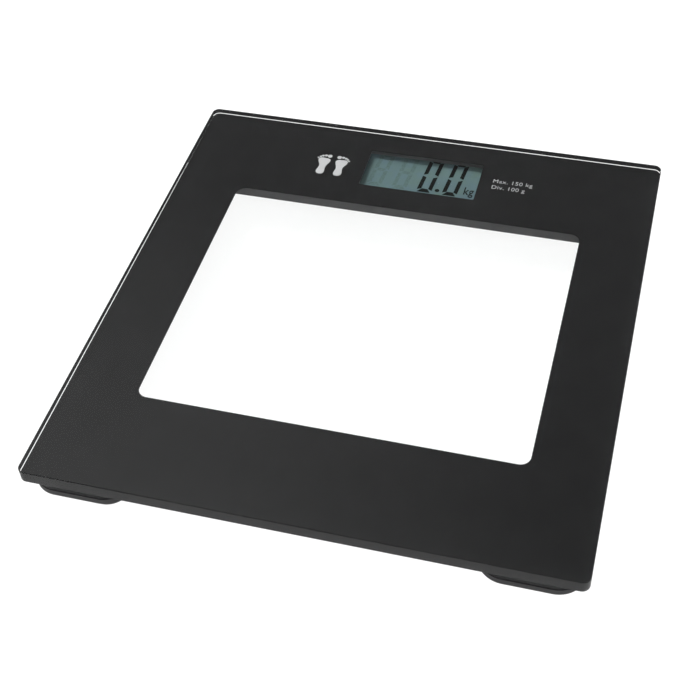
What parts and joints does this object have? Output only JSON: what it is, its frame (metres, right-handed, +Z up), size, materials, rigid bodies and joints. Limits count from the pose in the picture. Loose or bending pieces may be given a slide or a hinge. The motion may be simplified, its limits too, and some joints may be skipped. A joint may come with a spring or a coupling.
{
  "type": "digital bathroom scale",
  "caption": "Square glass platform scale with a black printed border, clear window, segment display under the rear band and load-cell feet.",
  "frame": {"origin": "middle of the platform's outline, on the floor under the foot pads", "axes": "+X across the platform to the reader's right, +Y from the front edge to the display edge, +Z up"},
  "size_m": [0.3, 0.32, 0.023],
  "materials": {
    "clear_glass": "polished tempered glass",
    "black_print": "baked enamel print seen through the glass",
    "foam_tape": "closed-cell foam tape",
    "housing_plastic": "fine spark texture",
    "mount_plastic": "fine spark texture",
    "cover_plastic": "fine spark texture",
    "foot_plastic": "satin moulded",
    "pad_rubber": "matte",
    "screw_steel": "zinc plated",
    "cell_steel": "satin",
    "contact_brass": "tinned",
    "lead_insulation": "extruded insulation",
    "lcd_glass": "thin sheet glass",
    "lcd_film": "semi gloss film",
    "lcd_silver": "diffuse silver film",
    "zebra_rubber": "silicone",
    "board_green": "solder mask",
    "chip_black": "cast epoxy",
    "component_body": "ceramic",
    "cell_plate_steel": "stamped, nickel plated",
    "gauge_film": "polyimide film"
  },
  "bodies": {
    "platform": {"glass_platform": "clear_glass", "border_print": "black_print", "housing_tape": "foam_tape", "rear_housing": "housing_plastic", "electronics_cover": "cover_plastic", "cover_screws": "screw_steel", "battery_cell": "cell_steel", "contact_negative": "contact_brass", "contact_positive": "contact_brass", "battery_leads": "lead_insulation", "display_gasket": "foam_tape", "display_frame": "housing_plastic", "lcd_panel": "lcd_glass", "lcd_polarizer": "lcd_film", "lcd_reflector": "lcd_silver", "zebra_strips": "zebra_rubber", "main_board": "board_green", "board_screws": "screw_steel", "chip_blob": "chip_black", "board_components": "component_body", "lead_channel_left": "mount_plastic", "channel_tape_left": "foam_tape", "lead_channel_right": "mount_plastic", "channel_tape_right": "foam_tape", "foot_tape_front_left": "foam_tape", "foot_tape_front_right": "foam_tape", "foot_tape_rear_left": "foam_tape", "foot_tape_rear_right": "foam_tape", "foot_mount_front_left": "mount_plastic", "foot_mount_front_right": "mount_plastic", "foot_mount_rear_left": "mount_plastic", "foot_mount_rear_right": "mount_plastic", "load_cell_front_left": "cell_plate_steel", "load_cell_front_right": "cell_plate_steel", "load_cell_rear_left": "cell_plate_steel", "load_cell_rear_right": "cell_plate_steel", "strain_gauge_front_left": "gauge_film", "strain_gauge_front_right": "gauge_film", "strain_gauge_rear_left": "gauge_film", "strain_gauge_rear_right": "gauge_film", "cell_leads_front_left": "lead_insulation", "cell_leads_front_right": "lead_insulation", "cell_leads_rear_left": "lead_insulation", "cell_leads_rear_right": "lead_insulation"},
    "foot_front_left": {"foot_cap_front_left": "foot_plastic", "foot_pad_front_left": "pad_rubber"},
    "foot_front_right": {"foot_cap_front_right": "foot_plastic", "foot_pad_front_right": "pad_rubber"},
    "foot_rear_left": {"foot_cap_rear_left": "foot_plastic", "foot_pad_rear_left": "pad_rubber"},
    "foot_rear_right": {"foot_cap_rear_right": "foot_plastic", "foot_pad_rear_right": "pad_rubber"},
    "door": {"battery_door": "cover_plastic"}
  },
  "joints": [
    {"name": "foot_press_front_left", "type": "slide", "parent": "platform", "child": "foot_front_left", "axis": [0, 0, 1], "range_m": [0, 0.0008], "stiffness_N_per_m": 1500, "springref_m": -0.005, "deforming": ["load_cell_front_left"]},
    {"name": "foot_press_front_right", "type": "slide", "parent": "platform", "child": "foot_front_right", "axis": [0, 0, 1], "range_m": [0, 0.0008], "stiffness_N_per_m": 1500, "springref_m": -0.005, "deforming": ["load_cell_front_right"]},
    {"name": "foot_press_rear_left", "type": "slide", "parent": "platform", "child": "foot_rear_left", "axis": [0, 0, 1], "range_m": [0, 0.0008], "stiffness_N_per_m": 1500, "springref_m": -0.005, "deforming": ["load_cell_rear_left"]},
    {"name": "foot_press_rear_right", "type": "slide", "parent": "platform", "child": "foot_rear_right", "axis": [0, 0, 1], "range_m": [0, 0.0008], "stiffness_N_per_m": 1500, "springref_m": -0.005, "deforming": ["load_cell_rear_right"]},
    {"name": "battery_door_hinge", "type": "hinge", "parent": "platform", "child": "door", "pos_m": [0.065, 0.138, 0.0056], "axis": [1, 0, 0], "range_deg": [0, 90]}
  ]
}
